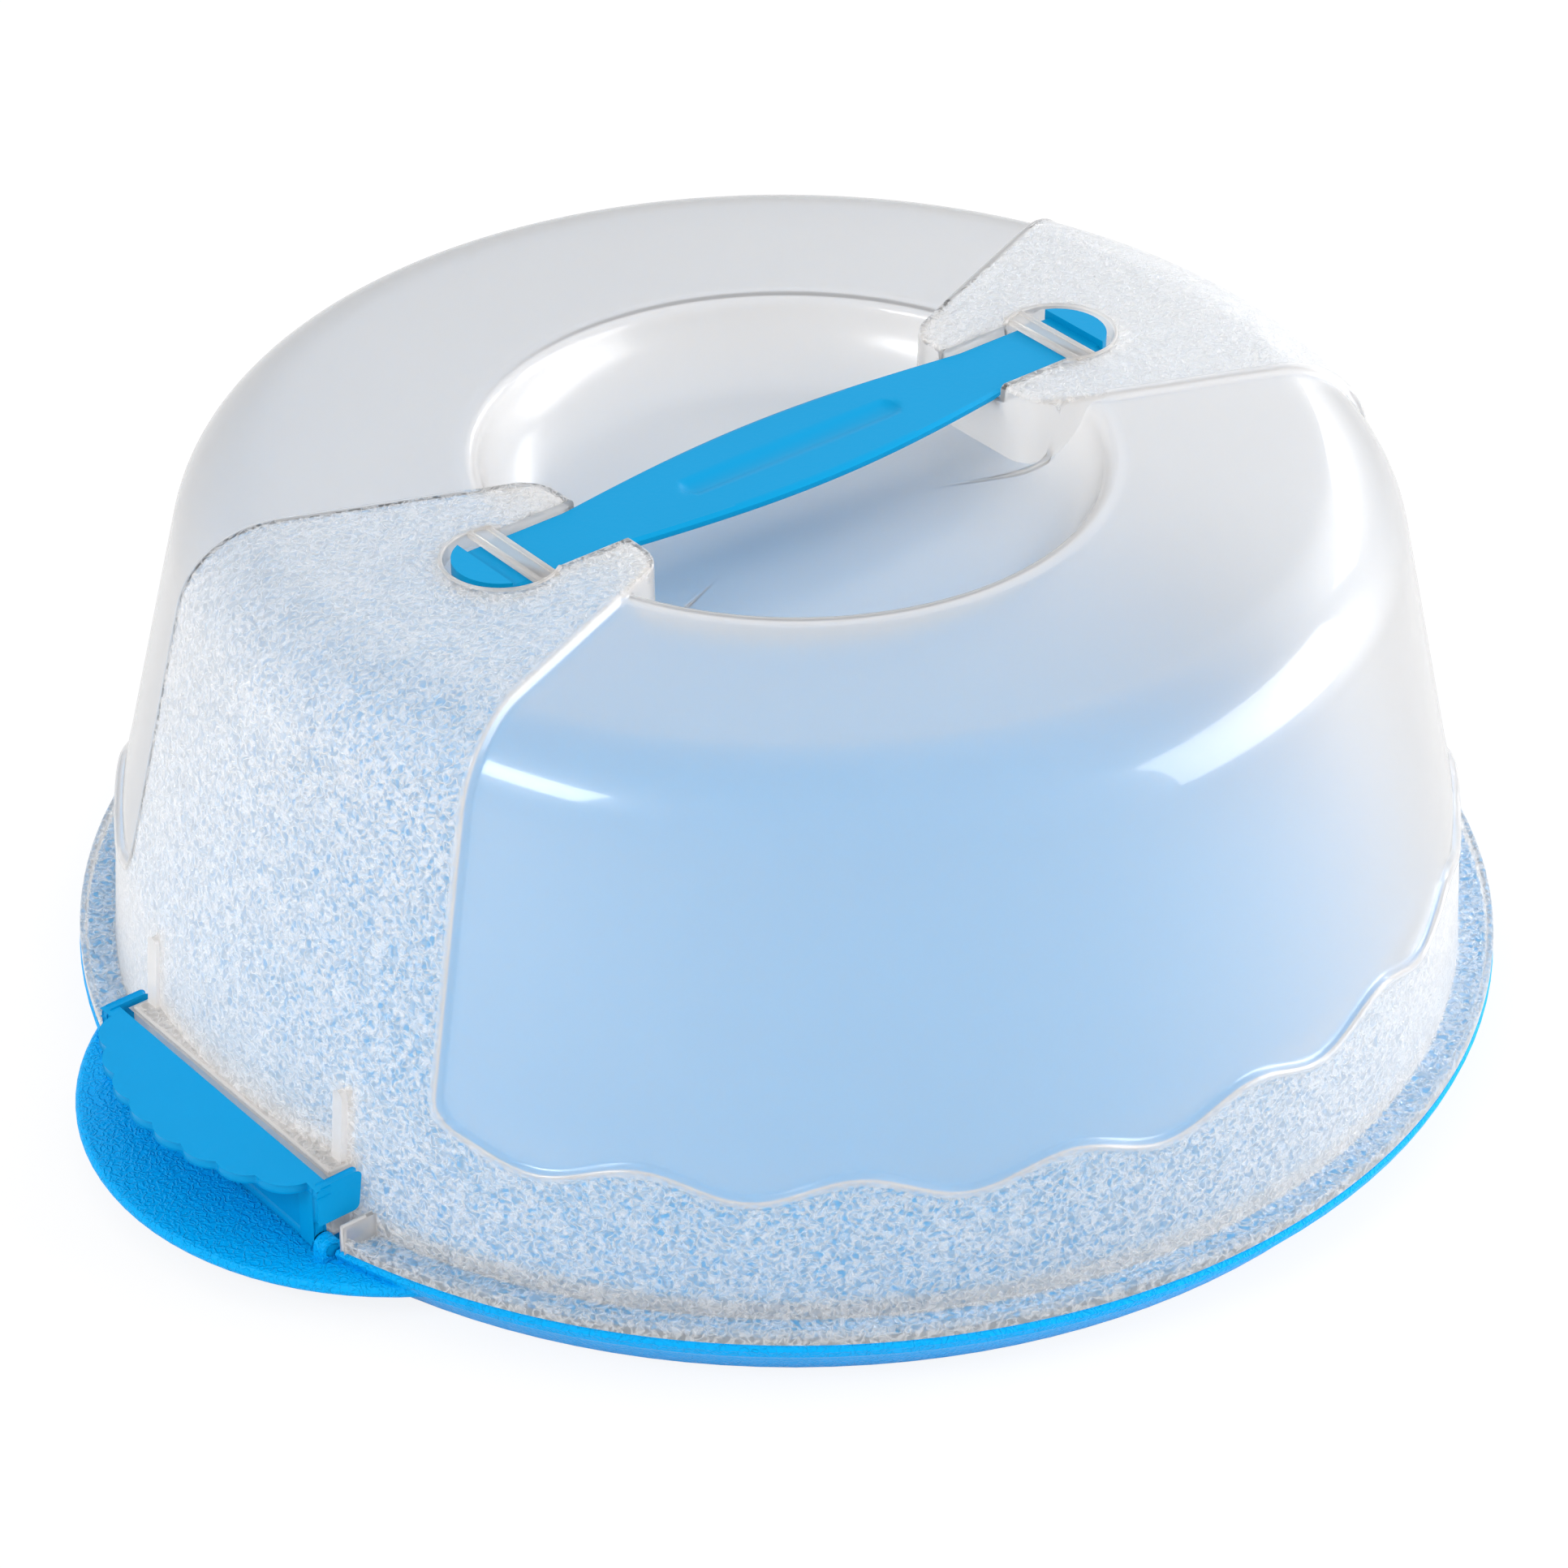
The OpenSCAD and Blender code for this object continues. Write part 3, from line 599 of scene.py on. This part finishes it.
def add_block(bm, low, high):
    """A box from one corner to the other, in millimetres."""
    size = [h - l for l, h in zip(low, high)]
    middle = [(h + l) / 2 for l, h in zip(low, high)]
    shape = Matrix.Translation(Vector(middle) * MM) @ Matrix.Diagonal((size[0] * MM, size[1] * MM, size[2] * MM, 1.0))
    bmesh.ops.create_cube(bm, size=1.0, matrix=shape)


# %% Prisms over an outline
def across(x, z, y):
    """Places a point of an outline drawn in x and z, at the distance y along the hinge."""
    return Vector((x, y, z)) * MM


def upward(x, y, z):
    """Places a point of an outline drawn from above, at the height z."""
    return Vector((x, y, z)) * MM


def facing(y, z, x):
    """Places a point of an outline drawn in y and z, at the distance x from the axis."""
    return Vector((x, y, z)) * MM


def prism(bm, outline, low, high, place):
    """Adds a prism whose outline is drawn with place, from low to high."""
    base = [bm.verts.new(place(a, b, low)) for a, b in outline]
    lid = [bm.verts.new(place(a, b, high)) for a, b in outline]
    bm.faces.new(base)
    bm.faces.new(list(reversed(lid)))
    for i in range(len(base)):
        j = (i + 1) % len(base)
        bm.faces.new((base[i], base[j], lid[j], lid[i]))


def arc_points(x, y, radius, start, stop, steps=8):
    """Points of an arc, in degrees, from start to stop."""
    angles = [math.radians(start + (stop - start) * k / steps) for k in range(steps + 1)]
    return [(x + radius * math.cos(a), y + radius * math.sin(a)) for a in angles]


# %% Bridges and the beads round the pockets
bm = bmesh.new()
add_block(bm, (75.5, -13.2, 134.8), (81.3, 13.2, 135.9))
add_block(bm, (75.5, -13.2, 134.9), (76.9, 13.2, 136.3))
add_block(bm, (79.9, -13.2, 134.9), (81.3, 13.2, 136.3))
bridges = finish_piece("bridges", bm, window_clear, "lid", (1, -1), bevel=0.3)

BEAD_R = 0.55
bm = bmesh.new()
path = pocket_outline(0.5)[1:-1]
rings = []
for k, (x, y) in enumerate(path):
    before, after = path[max(0, k - 1)], path[min(len(path) - 1, k + 1)]
    along = Vector((after[0] - before[0], after[1] - before[1], 0.0)).normalized()
    aside = Vector((along.y, -along.x, 0.0))
    ring = []
    for step in range(10):
        a = 2 * math.pi * step / 10
        ring.append(bm.verts.new((Vector((x, y, 135.9)) + aside * BEAD_R * math.cos(a) + Vector((0, 0, BEAD_R * math.sin(a)))) * MM))
    rings.append(ring)
for first, second in zip(rings, rings[1:]):
    for k in range(10):
        bm.faces.new((first[k], first[(k + 1) % 10], second[(k + 1) % 10], second[k]))
for ring in (rings[0], rings[-1]):
    bm.faces.new(ring)
finish_piece("pocket_beads", bm, window_clear, "lid", (1, -1))

# %% [markdown]
# ## Ledge, lip and shelves
#
# The dome's foot turns out into a flat ledge with an upright lip that lies on
# the tray's rim. It stops at a short upright fin on each side of a latch. The
# profile is closed and spun over that angle, so its ends are closed by caps.
# Between the fins the wall steps out into a shelf that the latch stands against.
# The polished front of the shelf and its soft top edge show through the gap.
# White rods along the edges of the shelf and of the fins are a painted highlight.

# %% Ledge and lip
FIN_Y = 44.8
LIP_R = 168.2
lip_profile = ([(156.5, 12.35), (167.6, 12.35), (168.1, 12.6), (LIP_R, 13.2)]
               + [(r, z) for r, z in arc_points(167.4, 15.2, 0.8, 0, 180, 10)]
               + [(166.6, 14.2), (166.2, 13.7), (165.6, 13.55), (160.6, 13.55), (159.6, 13.8), (159.0, 14.6), (156.5, 15.0)])
start = math.asin((FIN_Y + 0.4) / LIP_R)
bm = bmesh.new()
for side in (0, 1):
    begin = start + side * math.pi
    sweep = math.pi - 2 * start
    ring = [bm.verts.new((r * MM * math.cos(begin), r * MM * math.sin(begin), z * MM)) for r, z in lip_profile]
    face = bm.faces.new(ring)
    grown = bmesh.ops.spin(bm, geom=[face], cent=(0, 0, 0), axis=(0, 0, 1), dvec=(0, 0, 0), angle=sweep, steps=160)
    cap = [bm.verts.new(v.co) for v in ring]
    bm.faces.new(cap)
bmesh.ops.remove_doubles(bm, verts=bm.verts, dist=1e-6)
lip = finish_piece("lip", bm, ledge_clear, "lid")
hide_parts("lip_front", "lip_back")

# %% Fins beside the latches
def add_rod(bm, start, end, radius, steps=10):
    """A round rod between two points, in millimetres, that paints a highlight along the edge of a clear wall."""
    along = Vector(end) - Vector(start)
    place = Matrix.Translation((Vector(start) + Vector(end)) / 2 * MM) @ along.to_track_quat("Z", "Y").to_matrix().to_4x4()
    bmesh.ops.create_cone(bm, cap_ends=True, segments=steps, radius1=radius * MM, radius2=radius * MM,
                          depth=along.length * MM, matrix=place)


bm = bmesh.new()
for side in (1, -1):
    prism(bm, [(153.5, 12.4), (161.8, 12.4), (161.8, 19.2), (153.5, 19.2)], side * FIN_Y, side * (FIN_Y + 1.4), across)
finish_piece("fins", bm, shelf_clear, "lid", (1, -1), bevel=0.3)

SHELF_Z = 29.1
SHELF_HALF = 38.6
SHELF_X = 159.7
WALL_LEAN = 2.6 / 37.8
# White rods on the edges of the fins and the shelf: a painted highlight, not a part of the moulding.
bm = bmesh.new()
for side in (1, -1):
    y = side * (FIN_Y + 0.7)
    end_y = side * (SHELF_HALF - 0.5)
    add_rod(bm, (155.6, y, 19.1), (161.7, y, 19.1), 0.6)
    add_rod(bm, (161.6, y, 13.0), (161.6, y, 19.5), 0.6)
    add_rod(bm, (154.5, end_y, SHELF_Z - 0.45), (SHELF_X - 0.4, end_y, SHELF_Z - 0.45), 0.5)
    add_rod(bm, (SHELF_X - 0.4, end_y, SHELF_Z - 0.6), (SHELF_X - 0.4, end_y, 16.0), 0.45)
add_rod(bm, (SHELF_X - 0.4, 0.4 - SHELF_HALF, SHELF_Z - 0.4), (SHELF_X - 0.4, SHELF_HALF - 0.4, SHELF_Z - 0.4), 0.5)
finish_piece("painted_highlight_rods", bm, thick_and_highlight_clear, "lid", (1, -1), bevel=0.12)

# %% Shelves and ribs
bm = bmesh.new()
shelf_plan = [(150.0, -SHELF_HALF), (SHELF_X, -SHELF_HALF), (SHELF_X, SHELF_HALF), (150.0, SHELF_HALF)]
prism(bm, shelf_plan, 12.4, SHELF_Z - 0.6, upward)
shelves = finish_piece("shelves", bm, shelf_clear, "lid", (1, -1), bevel=0.7, segments=3)
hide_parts("shelf_left", "shelf_right")

bm = bmesh.new()
top_plan = [(152.0, 0.6 - SHELF_HALF), (SHELF_X - 0.6, 0.6 - SHELF_HALF), (SHELF_X - 0.6, SHELF_HALF - 0.6), (152.0, SHELF_HALF - 0.6)]
prism(bm, top_plan, SHELF_Z - 1.0, SHELF_Z, upward)
finish_piece("shelf_tops", bm, grained_clear, "lid", (1, -1), bevel=0.3)

bm = bmesh.new()
for side in (1, -1):
    middle = side * 36.0
    radius = math.sqrt(159.0 ** 2 - middle ** 2)
    outline = [(-1.4, SHELF_Z - 1.0), (1.4, SHELF_Z - 1.0)] + arc_points(0.0, 45.7, 1.4, 0, 180, 8)
    base = bmesh.new()
    prism(base, outline, radius - 3.0, radius + 1.3, lambda y, z, x: Vector((x - (z - SHELF_Z) * WALL_LEAN, middle + y, z)) * MM)
    part = bpy.data.meshes.new("part")
    base.to_mesh(part)
    base.free()
    bm.from_mesh(part)
finish_piece("ribs", bm, thick_and_highlight_clear, "lid", (1, -1), bevel=0.3)

# %% [markdown]
# ## Latches
#
# A latch is a channel: a flap that hangs from the hinge, a scalloped plate that
# the fingers pull, and a cheek at each end that reaches in past the shelf. The
# corners of a moulding are never sharp, so each part is a prism with a bevel.
# The scallops are eight arcs whose centres lie on one large arc.

# %% Latch
def scallops():
    """Outline of the plate from above: a straight inner edge and eight lobes."""
    centre, spread, radius = 116.45, 56.8, 7.75
    step = math.radians(9.17)
    edge = [(162.6, -42.15), (165.5, -42.15)]
    for k in range(-76, 77):
        angle = math.radians(37.9 * k / 76)
        best = 0.0
        for lobe in range(8):
            off = angle - (lobe - 3.5) * step
            inside = radius ** 2 - (spread * math.sin(off)) ** 2
            if inside > 0.0:
                best = max(best, spread * math.cos(off) + math.sqrt(inside))
        edge.append((centre + best * math.cos(angle), best * math.sin(angle)))
    return edge + [(165.5, 42.15), (162.6, 42.15)]


def latch_mesh():
    bm = bmesh.new()
    prism(bm, scallops(), 26.9, 29.1, upward)
    prism(bm, arc_points(162.9, 12.0, 2.1, 0, 345, 23), -39.0, 39.0, across)
    prism(bm, [(162.0, 11.6), (164.8, 12.0), (164.0, 15.4), (164.0, 28.0), (162.0, 28.0)], -39.0, 39.0, across)
    for side in (1, -1):
        cheek = ([(165.2, 19.7), (165.2, 28.0), (164.2, 29.0)] + arc_points(155.6, 27.85, 1.2, 90, 180, 5)
                 + arc_points(156.4, 20.9, 1.2, 180, 270, 5))
        prism(bm, cheek, side * 40.3, side * 42.3, across)
        pillar = [(34.6, 11.8), (38.9, 11.8), (38.9, 19.9), (41.6, 19.9), (41.6, 28.0), (34.6, 28.0)]
        prism(bm, [(side * y, z) for y, z in pillar], 162.1, 165.1, facing)
        prism(bm, arc_points(162.9, 12.0, 1.3, 0, 330, 11), side * 38.5, side * 43.0, across)
    return bm


for end, name in ((1, "right"), (-1, "left")):
    latch = finish_piece("latch_" + name + "_moulding", latch_mesh(), latch_blue, name + "_latch", (end,), bevel=0.45)
    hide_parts("latch_" + name)

# %% [markdown]
# ## Strap
#
# The strap is one flexible moulding, 2.4 mm thick at the grip and 1.6 mm at its
# ends, where it slides under the bridges. A shallow groove runs along the grip,
# and a half-moon stop keeps each end from slipping out. When the strap is
# lifted, its ends bow. It is made here as two mirrored halves, lofted from cross
# sections.

# %% Strap
STRAP_TOP = 134.5


def strap_half_width(x):
    """Half width of the strap at the distance x from its middle."""
    return 9.3 + 5.5 * math.cos(math.pi / 2 * min(1.0, abs(x) / 58.0))


def strap_section(x):
    """Cross section of the strap at x, turning from one edge over the top and back below."""
    half = strap_half_width(x)
    depth = 2.4 - 0.8 * smooth(52.0, 58.0, x)
    corner = 0.75
    top = []
    for k in range(31):
        y = half * (2.0 * k / 30 - 1.0)
        inset = max(0.0, abs(y) - (half - corner))
        z = STRAP_TOP - corner + math.sqrt(max(0.0, corner ** 2 - inset ** 2))
        to_groove = math.hypot(max(0.0, x - 28.0), y)
        z -= 0.9 * max(0.0, 1.0 - (to_groove / 3.4) ** 2) ** 0.7
        top.append((x, y, z))
    low = STRAP_TOP - depth
    bottom = [(x, half - 0.05, low + 0.55), (x, half - 0.4, low + 0.1), (x, half - 1.0, low),
              (x, 1.0 - half, low), (x, 0.4 - half, low + 0.1), (x, 0.05 - half, low + 0.55)]
    return top + bottom


def strap_half_mesh():
    bm = bmesh.new()
    places = [2.0 * k for k in range(14)] + [26.8 + 0.35 * k for k in range(14)] + [33.0 + 1.5 * k for k in range(36)]
    places += [87.0]
    rings = [[bm.verts.new(Vector(p) * MM) for p in strap_section(x)] for x in places]
    for first, second in zip(rings, rings[1:]):
        for k in range(len(first)):
            j = (k + 1) % len(first)
            bm.faces.new((first[k], first[j], second[j], second[k]))
    bm.faces.new(rings[0])
    bm.faces.new(rings[-1])
    moon_start = math.degrees(math.acos((86.0 - 81.6) / 11.0))
    moon = bmesh.new()
    prism(moon, arc_points(81.6, 0.0, 11.0, -moon_start, moon_start, 28), 133.0, 136.2, upward)
    sharp = [e for e in moon.edges if len(e.link_faces) == 2 and e.calc_face_angle() > math.radians(35)]
    bmesh.ops.bevel(moon, geom=sharp, offset=0.5 * MM, affect="EDGES", segments=3, profile=0.5, material=-1)
    part = bpy.data.meshes.new("part")
    moon.to_mesh(part)
    moon.free()
    bm.from_mesh(part)
    return bm


for end, name in ((1, "right"), (-1, "left")):
    strap = finish_piece("strap_half_" + name, strap_half_mesh(), strap_blue, None, (end,))
    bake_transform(strap)
    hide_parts("strap_end_" + name)
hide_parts("strap_grip")

# %% [markdown]
# ## Finish
#
# The view transform is the plain one, so that a colour renders about as it is

# %% Finish
bpy.context.scene.view_settings.view_transform = "Standard"
bpy.context.view_layer.update()
